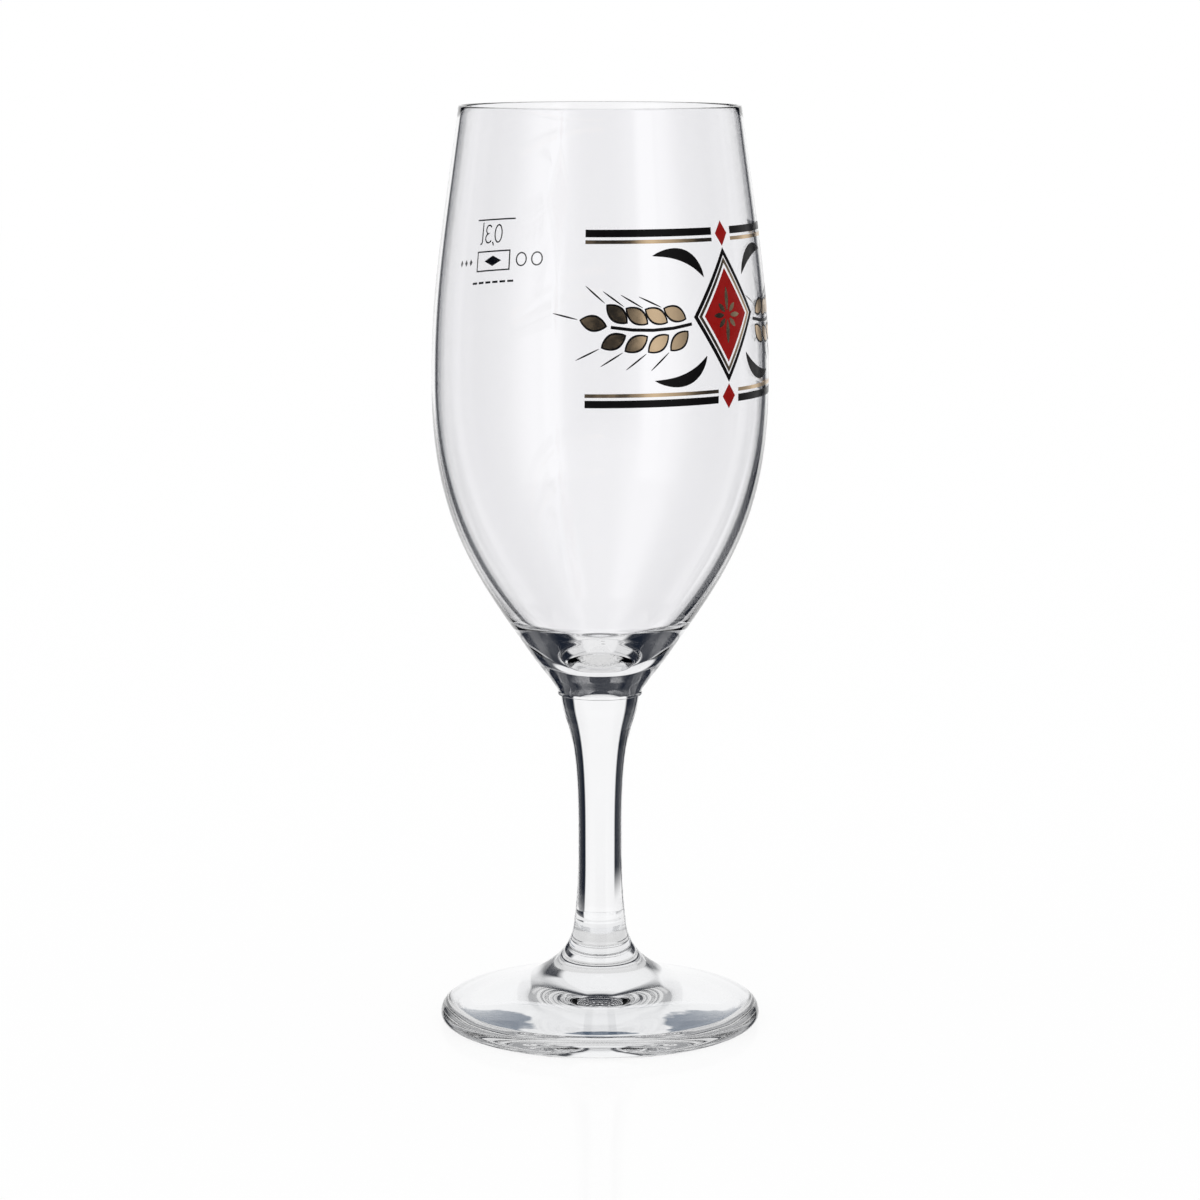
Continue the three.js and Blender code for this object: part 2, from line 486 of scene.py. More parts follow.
def finish_mesh(name, mesh):
    """Makes an object of a closed bmesh, smooth apart from its sharp edges."""
    bmesh.ops.recalc_face_normals(mesh, faces=mesh.faces[:])
    for face in mesh.faces:
        face.smooth = True
    data = bpy.data.meshes.new(name)
    mesh.to_mesh(data)
    mesh.free()
    data.set_sharp_from_angle(angle=math.radians(40))
    piece = bpy.data.objects.new(name, data)
    bpy.context.scene.collection.objects.link(piece)
    return piece


def dress(piece, slot, *materials):
    """Gives a piece its materials and ties it to the goblet's body."""
    for material in materials:
        piece.data.materials.append(material)
    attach(piece, BODY)


def fuse(piece, seams):
    """Gives the second material to the flat faces inside each seam, a height and a radius."""
    for face in piece.data.polygons:
        spots = [piece.data.vertices[index].co for index in face.vertices]
        for height, radius in seams:
            level = all(abs(spot.z - height) < 1e-6 for spot in spots)
            inside = all(spot.xy.length < radius + 1e-6 for spot in spots)
            if level and inside:
                face.material_index = 1


# Bowl

SHOULDER_PULL = 0.34
RIM_PULL = 0.49
BELLY_PULL = 0.5
TAPER_PULL = 0.36
NECK_PULL = 0.33
CAVITY_SIDE_PULL = 0.45
CAVITY_TAPER_PULL = 0.32
CAVITY_TURN_PULL = 0.2
CAVITY_FLOOR_PULL = 0.3


def bowl_outside(bowl):
    """The outer wall from the neck to the lip, as heights above the table."""
    lift = at(0, bowl.seam)
    neck = at(bowl.neck_diameter / 2, bowl.fin_height + bowl.fin_fade) + lift
    taper_end = at(bowl.taper_end_diameter / 2, bowl.taper_end_height) + lift
    belly = at(bowl.belly_diameter / 2, bowl.belly_height) + lift
    lip = at(bowl.rim_diameter / 2, bowl.height - bowl.rim_wall / 2) + lift
    neck_rise = taper_end.y - neck.y
    taper_rise = belly.y - taper_end.y
    shoulder_rise = lip.y - belly.y
    neck_leave = neck + leaning(bowl.neck_lean, NECK_PULL * neck_rise)
    neck_arrive = taper_end - leaning(bowl.taper_lean, NECK_PULL * neck_rise)
    taper_leave = taper_end + leaning(bowl.taper_lean, TAPER_PULL * taper_rise)
    belly_arrive = belly - at(0, BELLY_PULL * taper_rise)
    belly_leave = belly + at(0, SHOULDER_PULL * shoulder_rise)
    lip_arrive = lip - leaning(-bowl.rim_lean, RIM_PULL * shoulder_rise)
    points = [neck]
    points += curve(neck, neck_leave, neck_arrive, taper_end, 14)
    points += curve(taper_end, taper_leave, belly_arrive, belly, 44)
    points += curve(belly, belly_leave, lip_arrive, lip, 36)
    return points


def bowl_inside(bowl):
    """The inner wall from the lip to the axis, as heights above the table."""
    lift = at(0, bowl.seam)
    lip = at(bowl.rim_diameter / 2 - bowl.rim_wall, bowl.height - bowl.rim_wall / 2) + lift
    belly = at(bowl.belly_diameter / 2 - bowl.belly_wall, bowl.belly_height) + lift
    turn_in = at(bowl.cavity_end_diameter / 2, bowl.cavity_end_height) + lift
    floor_edge = at(bowl.floor_diameter / 2, bowl.floor_thickness) + lift
    shoulder_rise = lip.y - belly.y
    taper_rise = belly.y - turn_in.y
    floor_rise = turn_in.y - floor_edge.y
    lip_leave = lip - leaning(-bowl.rim_lean, RIM_PULL * shoulder_rise)
    belly_arrive = belly + at(0, SHOULDER_PULL * shoulder_rise)
    belly_leave = belly - at(0, CAVITY_SIDE_PULL * taper_rise)
    turn_arrive = turn_in + leaning(bowl.cavity_lean, CAVITY_TAPER_PULL * taper_rise)
    turn_leave = turn_in - leaning(bowl.cavity_lean, CAVITY_TURN_PULL * floor_rise)
    floor_arrive = floor_edge + at(CAVITY_FLOOR_PULL * (turn_in.x - floor_edge.x), 0)
    points = [lip]
    points += curve(lip, lip_leave, belly_arrive, belly, 36)
    points += curve(belly, belly_leave, turn_arrive, turn_in, 48)
    points += curve(turn_in, turn_leave, floor_arrive, floor_edge, 28)
    points += straight(floor_edge, at(0, floor_edge.y), 4)
    return points


def bowl_profile(bowl, seam_radius):
    """The whole outline, from the middle of the seam round the lip to the middle of the inside."""
    fin_edge = bowl.neck_diameter / 2 + bowl.fin_proud
    seam_edge = at(seam_radius, bowl.seam)
    fin_foot = at(fin_edge, bowl.seam)
    outside = bowl_outside(bowl)
    inside = bowl_inside(bowl)
    top = at((outside[-1].x + inside[0].x) / 2, bowl.seam + bowl.height)
    points = [at(0, bowl.seam)]
    points += straight(points[0], seam_edge, 4)
    points += [fin_foot, fin_foot + at(0, bowl.fin_height)]
    points += outside
    points += quarter(outside[-1], at(outside[-1].x, top.y), top, 5)
    points += quarter(top, at(inside[0].x, top.y), inside[0], 5)
    return points + inside[1:]


class GOBLET_OT_bowl(Operator):
    """Blow the bowl: a thin wall that swells into a solid bottom"""

    bl_idname = "goblet.bowl"
    bl_label = "Bowl"

    def execute(self, context):
        goblet = context.scene.goblet
        seam_radius = goblet.stem.top_diameter / 2
        piece = turn("glass_bowl", bowl_profile(goblet.bowl, seam_radius), goblet.glass.segments)
        glass = clear_glass("blown_glass", goblet.glass.bowl_tint, goblet.glass.waviness)
        dress(piece, "clear_glass", glass, fused_seam())
        fuse(piece, [(goblet.bowl.seam, seam_radius)])
        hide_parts("bowl")
        return {"FINISHED"}


class GOBLET_OT_floor_etching(Operator):
    """Etch a ring of dots into the floor of the bowl, where the bubbles of the beer start"""

    bl_idname = "goblet.floor_etching"
    bl_label = "Floor Etching"

    def execute(self, context):
        bowl = context.scene.goblet.bowl
        across = bowl.etched_dot
        level = bowl.seam + bowl.floor_thickness + 0.2 * across
        dots = bmesh.new()
        for step in range(bowl.etched_dots):
            turned = 2 * math.pi * step / bowl.etched_dots
            middle = bowl.etched_ring / 2 * Vector((math.cos(turned), math.sin(turned), 0))
            place = Matrix.Translation(middle + Vector((0, 0, level))) @ Matrix.Diagonal((1, 1, 0.3, 1))
            bmesh.ops.create_uvsphere(dots, u_segments=10, v_segments=6, radius=across / 2, matrix=place)
        dress(finish_mesh("floor_etching", dots), "clear_glass", frosting())
        return {"FINISHED"}


# Stem

STEM_TOP_PULL = 0.27
WAIST_PULL = 0.8


def stem_profile(stem):
    """The outline from the middle of the lower seam to the middle of the upper one."""
    lift = at(0, stem.seam)
    end = at(stem.end_diameter / 2, 0) + lift
    waist_bottom = at(stem.waist_diameter / 2, stem.waist_bottom) + lift
    waist_top = at(stem.waist_diameter / 2, stem.waist_top) + lift
    top = at(stem.top_diameter / 2, stem.length) + lift
    drawn_in = top.y - waist_top.y
    flare_corner = at(waist_bottom.x, stem.seam + stem.waist_bottom / 2)
    flare_leave = end.lerp(flare_corner, 2 / 3)
    flare_arrive = waist_bottom.lerp(flare_corner, 2 / 3)
    waist_leave = waist_top + at(0, WAIST_PULL * drawn_in)
    top_arrive = top - leaning(stem.top_lean, STEM_TOP_PULL * drawn_in)
    points = [lift]
    points += straight(lift, end, 3)
    points += curve(end, flare_leave, flare_arrive, waist_bottom, 16)
    points += straight(waist_bottom, waist_top, 4)
    points += curve(waist_top, waist_leave, top_arrive, top, 32)
    points += straight(top, at(0, top.y), 4)
    return points


class GOBLET_OT_stem(Operator):
    """Press the stem: drawn in below the bowl, straight at the waist and flared above the foot"""

    bl_idname = "goblet.stem"
    bl_label = "Stem"

    def execute(self, context):
        goblet = context.scene.goblet
        stem = goblet.stem
        piece = turn("glass_stem", stem_profile(stem), goblet.glass.segments)
        glass = clear_glass("pressed_glass_stem", goblet.glass.stem_tint, goblet.glass.waviness)
        dress(piece, "clear_glass", glass, fused_seam())
        fuse(piece, [(stem.seam, stem.end_diameter / 2), (stem.seam + stem.length, stem.top_diameter / 2)])
        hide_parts("stem")
        return {"FINISHED"}


# Foot

COLLAR_PULL = 0.55
SWEEP_PULL = 0.63
HOLLOW_PULL = 0.55


def foot_profile(foot, seam_radius):
    """The outline from the middle of the hollow round the edge to the middle of the seam."""
    edge = foot.diameter / 2
    heel = at(edge - foot.heel_rounding, 0)
    heel_top = at(edge, foot.heel_rounding)
    shoulder = at(edge, foot.edge_top - foot.edge_rounding)
    edge_top = at(edge - foot.edge_rounding, foot.edge_top)
    rest_inside = at(heel.x - foot.rest_width, 0)
    collar = at(foot.collar_diameter / 2, foot.height)
    crown = at(0, foot.hollow_depth)
    crown_leave = at(HOLLOW_PULL * rest_inside.x, foot.hollow_depth)
    rest_arrive = rest_inside.lerp(crown, 1 - HOLLOW_PULL)
    slope = SWEEP_PULL * (edge_top.x - collar.x)
    sweep_leave = edge_top + at(-math.cos(foot.edge_slope), math.sin(foot.edge_slope)) * slope
    collar_arrive = collar - at(0, COLLAR_PULL * (foot.height - foot.edge_top))
    points = [crown]
    points += curve(crown, crown_leave, rest_arrive, rest_inside, 40)
    points += straight(rest_inside, heel, 2)
    points += quarter(heel, at(edge, 0), heel_top, 8)
    points += straight(heel_top, shoulder, 2)
    points += quarter(shoulder, at(edge, foot.edge_top), edge_top, 8)
    points += curve(edge_top, sweep_leave, collar_arrive, collar, 60)
    points += [at(seam_radius, foot.height)]
    points += straight(points[-1], at(0, foot.height), 3)
    return points


class GOBLET_OT_foot(Operator):
    """Press the foot: a disc with a rounded edge, swept up into a collar and hollowed underneath"""

    bl_idname = "goblet.foot"
    bl_label = "Foot"

    def execute(self, context):
        goblet = context.scene.goblet
        seam_radius = goblet.stem.end_diameter / 2
        piece = turn("glass_foot", foot_profile(goblet.foot, seam_radius), goblet.glass.segments)
        glass = clear_glass("pressed_glass_foot", goblet.glass.foot_tint, goblet.glass.waviness)
        dress(piece, "clear_glass", glass, fused_seam())
        fuse(piece, [(goblet.foot.height, seam_radius)])
        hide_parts("foot")
        return {"FINISHED"}


# Print


class Wall:
    """The outside of the bowl as a sheet to print on, in lengths right and up from a middle."""

    def __init__(self, goblet, azimuth, height):
        self.points = bowl_outside(goblet.bowl)
        self.heights = [point.y for point in self.points]
        self.azimuth = azimuth
        self.height = height
        self.radius = self.slice(height)[0].x

    def slice(self, height):
        """The point of the wall at a height, and the direction that faces out there."""
        index = min(max(bisect_right(self.heights, height), 1), len(self.points) - 1)
        low, high = self.points[index - 1], self.points[index]
        rise = high - low
        point = low + rise * ((height - low.y) / rise.y)
        return point, at(rise.y, -rise.x).normalized()

    def spot(self, place, lift):
        """Where a place on the sheet lies in space, lifted off the glass."""
        point, out = self.slice(self.height + place.y)
        lifted = point + out * lift
        turned = self.azimuth + place.x / self.radius
        return Vector((lifted.x * math.sin(turned), -lifted.x * math.cos(turned), lifted.y))


PRINT_STEP = 1.2 * MM
TIP = 0.12 * MM


def resample(path, closed=False):
    """Cuts a path of straight lines into steps that follow the wall."""
    ends = path[1:] + path[:1] if closed else path[1:]
    points = [] if closed else [path[0]]
    for start, end in zip(path, ends):
        points += straight(start, end, max(1, math.ceil((end - start).length / PRINT_STEP)))
    return points


def ribbon(mesh, wall, path, widths, lift, film, closed=False):
    """Lays a closed film of ink along a path on the wall."""
    count = len(path)
    across = max(1, math.ceil(max(widths) / PRINT_STEP))
    layers = []
    for height in (lift, lift + film):
        rows = []
        for index, place in enumerate(path):
            before = path[index - 1] if closed or index > 0 else place
            after = path[(index + 1) % count] if closed or index < count - 1 else place
            come = (place - before).normalized() if before != place else (after - place).normalized()
            leave = (after - place).normalized() if after != place else come
            along = (come + leave).normalized()
            half = at(-along.y, along.x) * (widths[index] / 2 / max(along.dot(leave), 0.3))
            spots = [place + half * (2 * step / across - 1) for step in range(across + 1)]
            rows.append([mesh.verts.new(wall.spot(spot, height)) for spot in spots])
        layers.append(rows)
    under, over = layers
    pairs = [(index, (index + 1) % count) for index in range(count if closed else count - 1)]
    for near, far in pairs:
        for step in range(across):
            mesh.faces.new((over[near][step], over[far][step], over[far][step + 1], over[near][step + 1]))
            mesh.faces.new((under[near][step], under[near][step + 1], under[far][step + 1], under[far][step]))
        for side in (0, across):
            mesh.faces.new((under[near][side], under[far][side], over[far][side], over[near][side]))
    if not closed:
        for end in (0, count - 1):
            for step in range(across):
                mesh.faces.new((under[end][step], under[end][step + 1], over[end][step + 1], over[end][step]))


def arc(middle, wide, tall, start, end, steps):
    """Points along an ellipse from one angle to another, in degrees from the right."""
    turns = [math.radians(start + (end - start) * step / steps) for step in range(steps + 1)]
    return [middle + at(wide * math.cos(turned), tall * math.sin(turned)) for turned in turns]


# Sizes of the fill mark, with heights from the fill line
PEN = 0.34 * MM
PANEL_LEVEL = -9.5 * MM
PANEL_HALF = at(5 * MM, 2.2 * MM)
PANEL_RINGS = (-8.2 * MM, -12.2 * MM)
PANEL_BEADS = (7.6 * MM, 9.6 * MM, 11.6 * MM)
BAR_COUNT = 6
BAR_START = at(-6.3 * MM, -14.4 * MM)
BAR_PITCH = 2.2 * MM
BAR_LENGTH = 1.6 * MM
BAR_WIDTH = 0.5 * MM


def numeral_strokes(tall):
    """The capacity as pen strokes that stand on a line, each a path and whether it closes."""
    nought = arc(at(-0.32 * tall, 0.5 * tall), 0.27 * tall, 0.5 * tall, 0, 345, 23)
    upper = arc(at(0.45 * tall, 0.75 * tall), 0.22 * tall, 0.25 * tall, 150, -75, 14)
    lower = arc(at(0.45 * tall, 0.26 * tall), 0.25 * tall, 0.26 * tall, 82, -150, 15)
    hook = arc(at(1.1 * tall, 0.1 * tall), 0.14 * tall, 0.16 * tall, 180, 280, 6)
    return [
        (nought, True),
        ([at(0.1 * tall, 0.04 * tall), at(0.02 * tall, -0.18 * tall)], False),
        (upper + lower, False),
        ([at(0.96 * tall, 1.18 * tall), at(0.96 * tall, 0.6 * tall)] + hook, False),
    ]


def panel_strokes():
    """The plain panel under the capacity: a box and two rings, as paths that close."""
    sides = ((1, 1), (-1, 1), (-1, -1), (1, -1))
    corners = [at(right * PANEL_HALF.x, PANEL_LEVEL + up * PANEL_HALF.y) for right, up in sides]
    box = resample(corners, True)
    return [box] + [arc(at(across, PANEL_LEVEL), 1.3 * MM, 1.5 * MM, 0, 345, 23) for across in PANEL_RINGS]


def panel_spots():
    """The filled spots of the panel, a lozenge in its box and three beads, as middles and half sizes."""
    beads = [(at(across, PANEL_LEVEL), at(0.55 * MM, 0.8 * MM)) for across in PANEL_BEADS]
    return [(at(0, PANEL_LEVEL), at(2.6 * MM, 1.2 * MM))] + beads


class GOBLET_OT_fill_mark(Operator):
    """Print the fill line, the capacity and a plain panel on the far side of the bowl"""

    bl_idname = "goblet.fill_mark"
    bl_label = "Fill Mark"

    def execute(self, context):
        goblet = context.scene.goblet
        ink = goblet.ink
        wall = Wall(goblet, ink.mark_azimuth, ink.mark_height)
        black = fired_ink("black_mark_ink", ink.black, 0.35, 0.0)

        rule = bmesh.new()
        path = resample([at(-ink.mark_length / 2, 0), at(ink.mark_length / 2, 0)])
        ribbon(rule, wall, path, [PEN] * len(path), ink.clearance, ink.film)
        dress(finish_mesh("fill_line", rule), "black_print", black)

        numerals = bmesh.new()
        tall = ink.numeral_height
        baseline = at(0, -1.32 * tall)
        for stroke, closed in numeral_strokes(tall):
            path = [baseline + point for point in stroke]
            ribbon(numerals, wall, path, [PEN] * len(path), ink.clearance, ink.film, closed)
        dress(finish_mesh("capacity_numerals", numerals), "black_print", black)

        panel = bmesh.new()
        for path in panel_strokes():
            ribbon(panel, wall, path, [PEN] * len(path), ink.clearance, ink.film, True)
        for spot, half in panel_spots():
            ribbon(panel, wall, *lozenge(spot, half), ink.clearance, ink.film)
        for bar in range(BAR_COUNT):
            start = BAR_START + at(bar * BAR_PITCH, 0)
            path = [start] + straight(start, start + at(BAR_LENGTH, 0), 2)
            ribbon(panel, wall, path, [BAR_WIDTH] * len(path), ink.clearance, ink.film)
        dress(finish_mesh("mark_panel", panel), "black_print", black)
        return {"FINISHED"}


# Sizes of the frieze, from its middle
FRIEZE_HALF_WIDTH = 34 * MM
LOZENGE = at(8.4 * MM, 12.6 * MM)
KERNEL_PAIRS = 4
KERNEL_SPACING = 4.6 * MM
KERNEL_LENGTH = 6 * MM
KERNEL_WIDTH = 2.7 * MM
KERNEL_LEAN = math.radians(34)
OUTLINE = 0.45 * MM
AWN_LENGTH = 5.5 * MM
AWN_WIDTH = 0.36 * MM
STALK_WIDTH = 0.7 * MM
BLADE_WIDTH = 2.6 * MM
STAR_REACHES = (5 * MM, 2.6 * MM, 3 * MM, 2.6 * MM)
STAR_WIDTH = 1.1 * MM
RULE_HEIGHT = 18 * MM
RULE_GAP = 3.2 * MM


def swell(path, wide, tip=TIP):
    """Widths that swell from a pointed end to the middle of a path and back."""
    last = len(path) - 1
    return [tip + (wide - tip) * math.sin(math.pi * index / last) ** 0.8 for index in range(last + 1)]


def leaf(start, heading, reach, wide, tip=TIP):
    """A pointed leaf along a straight line, as a path and its widths."""
    path = [start] + straight(start, start + heading * reach, max(8, math.ceil(reach / (0.6 * MM))))
    return path, swell(path, wide, tip)


def lozenge(middle, half):
    """A filled lozenge as a path from left to right and its widths."""
    steps = max(2, 2 * math.ceil(half.x / PRINT_STEP))
    path = [middle + at(half.x * (2 * step / steps - 1), 0) for step in range(steps + 1)]
    tip = 0.04 * MM
    widths = [tip + (2 * half.y - tip) * (1 - abs(2 * step / steps - 1)) for step in range(steps + 1)]
    return path, widths


def barley_ear():
    """The right ear of barley: its spine, and the start and heading of each kernel."""
    root = at(10.2 * MM, -1.4 * MM)
    heading = at(1, -0.16).normalized()
    bend = Matrix.Rotation(math.radians(5.5), 2)
    spine = [root]
    kernels = []
    for pair in range(KERNEL_PAIRS):
        spine += straight(spine[-1], spine[-1] + heading * KERNEL_SPACING, 4)
        for flank in (1, -1):
            side = at(-heading.y, heading.x) * flank
            lean = Matrix.Rotation(flank * KERNEL_LEAN, 2)
            kernels.append((spine[-4] + side * (1.25 * MM), lean @ heading))
        heading = bend @ heading
    kernels.append((spine[-1] + heading * (0.8 * MM), heading))
    return spine, kernels


def leaf_blade(rise):
    """The blade to the right of the lozenge, above the ear for a rise of 1 and below it for -1."""
    base = at(6.4 * MM, rise * 8.4 * MM)
    leave = at(8.9 * MM, rise * 12.9 * MM)
    arrive = at(13 * MM, rise * 14.6 * MM)
    return [base] + curve(base, leave, arrive, at(19 * MM, rise * 13.2 * MM), 16)


class GOBLET_OT_frieze(Operator):
    """Print the frieze of barley and lozenges in black, gold and red"""

    bl_idname = "goblet.frieze"
    bl_label = "Frieze"

    def execute(self, context):
        goblet = context.scene.goblet
        ink = goblet.ink
        wall = Wall(goblet, ink.frieze_azimuth, ink.frieze_height)
        black, gold, red = bmesh.new(), bmesh.new(), bmesh.new()
        first = ink.clearance
        second = first + ink.film + ink.clearance

        def lay(mesh, path, widths, lift, closed=False):
            ribbon(mesh, wall, path, widths, lift, ink.film, closed)

        spine, kernels = barley_ear()
        for side in (1, -1):
            mirror = Matrix(((side, 0), (0, 1)))
            stalk = [mirror @ point for point in spine]
            lay(black, stalk, [STALK_WIDTH] * len(stalk), first)
            for start, heading in kernels:
                start, heading = mirror @ start, mirror @ heading
                lay(black, *leaf(start, heading, KERNEL_LENGTH, KERNEL_WIDTH + 2 * OUTLINE), first)
                inner = start + heading * OUTLINE
                lay(gold, *leaf(inner, heading, KERNEL_LENGTH - 2 * OUTLINE, KERNEL_WIDTH), second)
                awn = start + heading * (KERNEL_LENGTH + OUTLINE)
                lay(black, *leaf(awn, heading, AWN_LENGTH, AWN_WIDTH, 0.1 * MM), first)
            for rise in (1, -1):
                blade = [mirror @ point for point in leaf_blade(rise)]
                lay(black, blade, swell(blade, BLADE_WIDTH), first)

        lay(red, *lozenge(at(0, 0), LOZENGE * 0.8), first)
        for grow, wide, mesh in ((0.93, 0.7 * MM, gold), (1.08, 0.9 * MM, black)):
            reach = LOZENGE * grow
            path = resample([at(reach.x, 0), at(0, reach.y), at(-reach.x, 0), at(0, -reach.y)], True)
            lay(mesh, path, [wide] * len(path), first, True)
        for step in range(8):
            heading = Matrix.Rotation(step * math.pi / 4, 2) @ at(0, 1)
            reach = STAR_REACHES[step % len(STAR_REACHES)]
            lay(gold, *leaf(heading * (1 * MM), heading, reach, STAR_WIDTH), second)

        rules = ((RULE_HEIGHT - 1.8 * MM, 0.8 * MM, gold), (RULE_HEIGHT, 1.6 * MM, black))
        for rise in (1, -1):
            for height, wide, mesh in rules:
                for side in (1, -1):
                    ends = [at(side * RULE_GAP, rise * height), at(side * FRIEZE_HALF_WIDTH, rise * height)]
                    path = resample(ends)
                    lay(mesh, path, [wide] * len(path), first)
            lay(red, *lozenge(at(0, rise * (RULE_HEIGHT - 0.6 * MM)), at(2 * MM, 2.7 * MM)), first)

        dress(finish_mesh("frieze_black", black), "black_print", fired_ink("black_ink", ink.black, 0.25, 0.0))
        dress(finish_mesh("frieze_gold", gold), "gold_print", fired_ink("gold_ink", ink.gold, 0.22, 1.0))
        dress(finish_mesh("frieze_red", red), "red_print", fired_ink("red_ink", ink.red, 0.3, 0.0))
        return {"FINISHED"}


# Stage

# White cards that show through the glass: middle and half width in degrees round from the front, and the
# lowest and highest elevation. The backdrop reaches further round for the solid stem than for the thin wall,
# because the wall stands nearer to its edge
BACKDROP = 180
BACKDROP_HALF = 25.8
BACKDROP_MORE = 5
SIDE_CARDS = (
    (270, 25, -14, 50),
    (97, 17, -90, 50),
    (45, 22, -90, 50),
)
LOW_CARD = (225, 25)
LOW_CARD_TOP = -15
LOW_CARD_DROP = 2.5
LOW_CARD_FADE = 3.0
NEAR_TABLE = (175, 64, -90, -24)

# What gleams after a bounce: the same, with the softness of the sides and a brightness. Soft boxes in front
# gleam everywhere, the far sides on the outside and after one bounce inside the glass, and the last cards
# after three bounces or more
SOFT_BOXES = (
    (-41, 20, -30, 70, 14, 0.85),
    (36, 8, -30, 70, 4, 0.85),
    (48, 12, -30, 70, 14, 0.6),
)
FAR_SIDES = (
    (130, 8, -60, 30, 4, 0.85),
    (116, 12, -60, 30, 10, 0.35),
    (230, 8, -60, 30, 4, 0.85),
    (244, 12, -60, 30, 10, 0.35),
)
OUTSIDE_CARDS = (
    (180, 25, -90, 50, 2, 1.0),
    (0, 55, -90, -12, 15, 0.8),
    *FAR_SIDES,
)
ONE_BOUNCE_CARDS = (
    (183, 20, -90, 50, 2, 0.95),
    (180, 25, 14, 56, 6, 0.85),
    (180, 50, -90, -44, 4, 0.95),
    *FAR_SIDES,
)
MORE_BOUNCES_CARDS = (
    (180, 21, -40, 45, 3, 0.88),
    (180, 48, -28, -13, 4, 0.78),
    (180, 200, 20, 42, 2, 0.5),
    (180, 200, -90, -27, 2, 0.75),
)
MANY_BOUNCES_CARDS = (
    (180, 66, -16, 20, 5, 0.34),
)
CARD_EDGE = 2.0
CARD_FADE = 6.0


def card(graph, azimuth, elevation, middle, half, low, high, edge=CARD_EDGE, fade=CARD_FADE):
    """How much of a soft-edged card lies in a direction."""
    wrap = {0: azimuth - middle, 1: -180.0, 2: 180.0}
    offset = graph.node("ShaderNodeMath", {"operation": "WRAP"}, wrap)["Value"]
    aside = graph.node("ShaderNodeMath", {"operation": "ABSOLUTE"}, {0: offset})["Value"]
    across = graph.ramp(aside - half, -edge, edge, 1, 0)
    above = graph.ramp(elevation - low, -CARD_EDGE, CARD_EDGE)
    return across * above * graph.ramp(elevation - high, -fade, fade, 1, 0)


def surroundings(graph, stage):
    """What glass and metal see round the goblet: white cards and soft lights between dark flags."""
    path = graph.node("ShaderNodeLightPath")
    place = graph.node("ShaderNodeTexCoord")["Generated"]
    axes = graph.node("ShaderNodeSeparateXYZ", None, {"Vector": place})
    turned = axes["X"].math("ARCTAN2", axes["X"], axes["Y"] * -1)
    raised = graph.node("ShaderNodeMath", {"operation": "ARCSINE"}, {0: axes["Z"]})["Value"]
    azimuth = turned * math.degrees(1)
    elevation = raised * math.degrees(1)
    solid = 1 - graph.over(path["Transmission Depth"], 2.5)
    inside = graph.over(path["Transmission Depth"], 0.5)
    bounced = graph.over(path["Glossy Depth"], 0.5)
    again = graph.over(path["Glossy Depth"], 1.5)
    often = graph.over(path["Glossy Depth"], 2.5)

    through = card(graph, azimuth, elevation, BACKDROP, solid * BACKDROP_MORE + BACKDROP_HALF, -90, 50)
    low_top = LOW_CARD_TOP - solid * LOW_CARD_DROP
    low_card = card(graph, azimuth, elevation, *LOW_CARD, -90, low_top, fade=LOW_CARD_FADE)
    through = graph.most(through, low_card)
    through = graph.most(through, card(graph, azimuth, elevation, *NEAR_TABLE) * solid)
    for place in SIDE_CARDS:
        through = graph.most(through, card(graph, azimuth, elevation, *place))

    def brightest(level, cards):
        for *place, edge, bright in cards:
            level = graph.most(level, card(graph, azimuth, elevation, *place, edge) * bright)
        return level

    boxes = brightest(0, SOFT_BOXES)
    outer = brightest(boxes, OUTSIDE_CARDS)
    once = brightest(boxes, ONE_BOUNCE_CARDS)
    more = brightest(boxes, MORE_BOUNCES_CARDS)
    more = graph.most(more, brightest(0, MANY_BOUNCES_CARDS) * often)
    inner = once + (more - once) * again
    gleam = outer + (inner - outer) * inside
    level = through + (gleam - through) * bounced
    shade = graph.mix(level, stage.flag, stage.white)
    glassy = graph.most(path["Is Glossy Ray"], path["Is Transmission Ray"])
    lit = graph.mix(glassy, stage.white, shade)
    return graph.mix(path["Is Camera Ray"], lit, stage.white)


# The table that shows through the foot: a disc that glows with painted light and shade
UNDER_FOOT = 60 * MM


def sheet(name, corners, material):
    """A flat piece of the stage."""
    data = bpy.data.meshes.new(name)
    data.from_pydata(corners, [], [range(len(corners))])
    data.materials.append(material)
    piece = bpy.data.objects.new(name, data)
    bpy.context.scene.collection.objects.link(piece)
    return piece


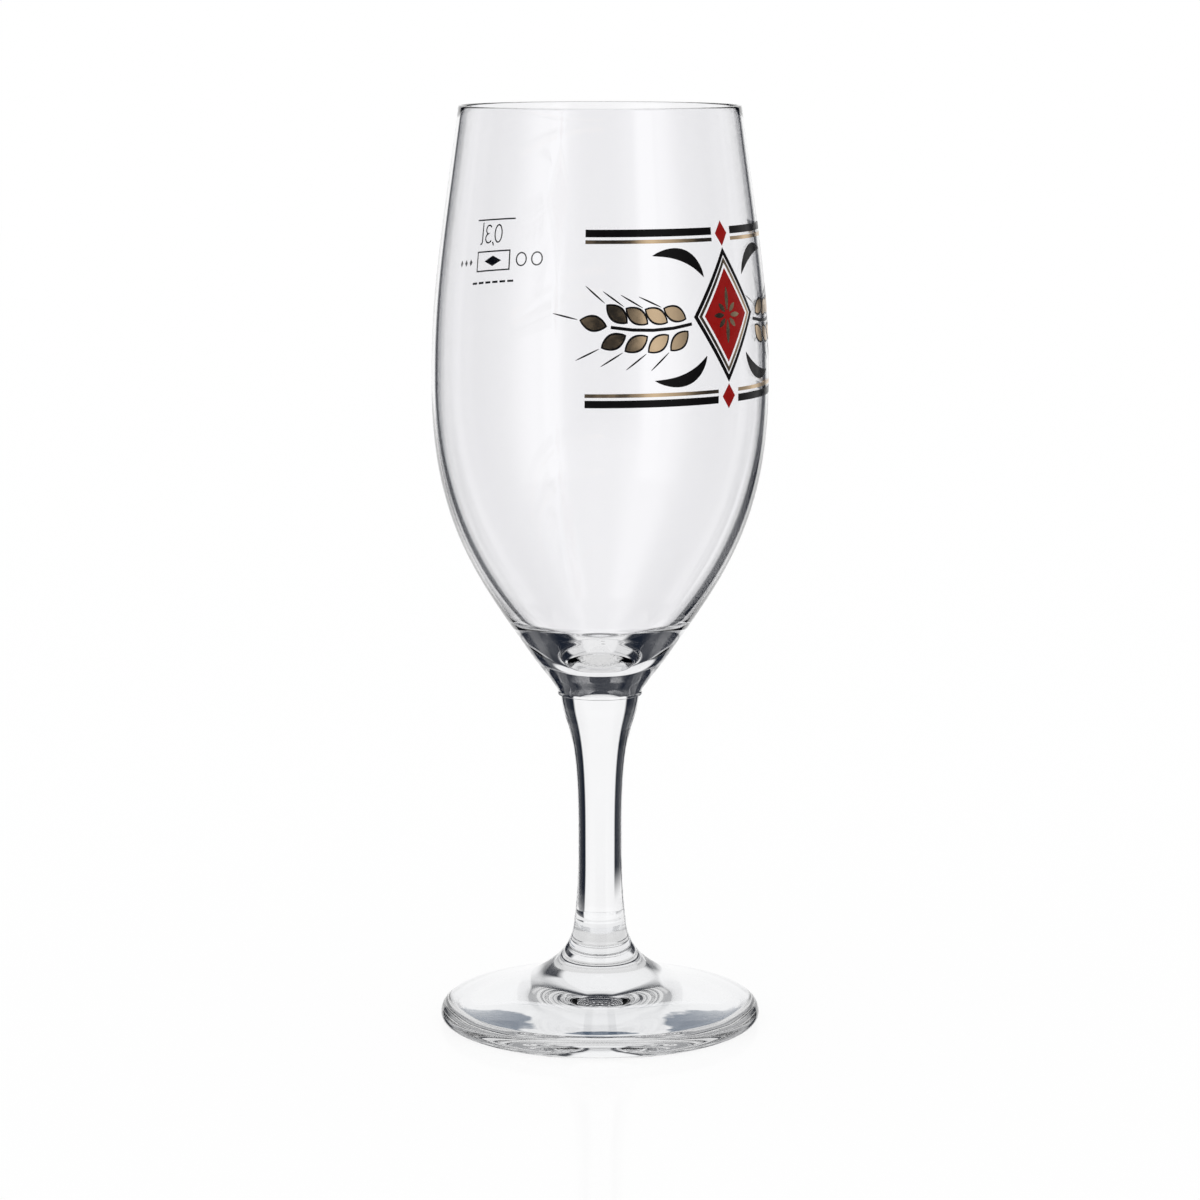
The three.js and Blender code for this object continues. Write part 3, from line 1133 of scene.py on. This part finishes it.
class GOBLET_OT_stage(Operator):
    """Set up the white table, the surroundings and the camera"""

    bl_idname = "goblet.stage"
    bl_label = "Stage"

    def execute(self, context):
        scene = context.scene
        stage = scene.goblet.stage
        scene.view_settings.view_transform = "Standard"
        scene.cycles.max_bounces = 24
        scene.cycles.glossy_bounces = 12
        scene.cycles.transmission_bounces = 24
        scene.cycles.transparent_max_bounces = 24

        world = bpy.data.worlds.new("studio")
        world.use_nodes = True
        graph = Graph(world.node_tree)
        seen = {"Color": surroundings(graph, stage), "Strength": 1.0}
        light = graph.node("ShaderNodeBackground", None, seen)
        graph.node("ShaderNodeOutputWorld", None, {"Surface": light["Background"]})
        scene.world = world

        reach = stage.floor_reach
        corners = [(-reach, -reach, 0), (reach, -reach, 0), (reach, reach, 0), (-reach, reach, 0)]
        table = sheet("table", corners, white_table(stage))
        table.visible_transmission = False
        table.visible_glossy = False
        # A disc just under the table that glows with painted light and shade, seen only through the glass
        turns = [math.radians(5 * step) for step in range(72)]
        ring = [(UNDER_FOOT * math.cos(a), UNDER_FOOT * math.sin(a), -0.3 * MM) for a in turns]
        under = sheet("table_under_foot", ring, painted_table_glow(stage))
        under.visible_camera = False
        under.visible_diffuse = False
        under.visible_glossy = False
        under.visible_shadow = False

        lens = bpy.data.cameras.new("camera")
        lens.lens = stage.lens
        camera = bpy.data.objects.new("camera", lens)
        camera.location = (0, -stage.distance, stage.eye_height)
        camera.rotation_euler = (math.pi / 2 - stage.pitch, 0, 0)
        scene.collection.objects.link(camera)
        scene.camera = camera
        return {"FINISHED"}


class GOBLET_PT_panel(Panel):
    """The goblet's makers in the sidebar"""

    bl_idname = "GOBLET_PT_panel"
    bl_label = "Beer Goblet"
    bl_space_type = "VIEW_3D"
    bl_region_type = "UI"
    bl_category = "Goblet"

    def draw(self, context):
        for maker in MAKERS:
            self.layout.operator(maker.bl_idname)


MAKERS = (
    GOBLET_OT_stage,
    GOBLET_OT_bowl,
    GOBLET_OT_floor_etching,
    GOBLET_OT_stem,
    GOBLET_OT_foot,
    GOBLET_OT_fill_mark,
    GOBLET_OT_frieze,
)

SETTINGS = (GobletGlass, GobletBowl, GobletStem, GobletFoot, GobletPrint, GobletStage, GobletSettings)
CLASSES = (*SETTINGS, *MAKERS, GOBLET_PT_panel)


def register():
    for kind in CLASSES:
        bpy.utils.register_class(kind)
    bpy.types.Scene.goblet = PointerProperty(type=GobletSettings)


def unregister():
    del bpy.types.Scene.goblet
    for kind in reversed(CLASSES):
        bpy.utils.unregister_class(kind)


def main():
    register()
    bpy.ops.goblet.stage()
    bpy.ops.goblet.bowl()
    bpy.ops.goblet.floor_etching()
    bpy.ops.goblet.stem()
    bpy.ops.goblet.foot()
    bpy.ops.goblet.fill_mark()
    bpy.ops.goblet.frieze()


if __name__ == "__main__":
    main()
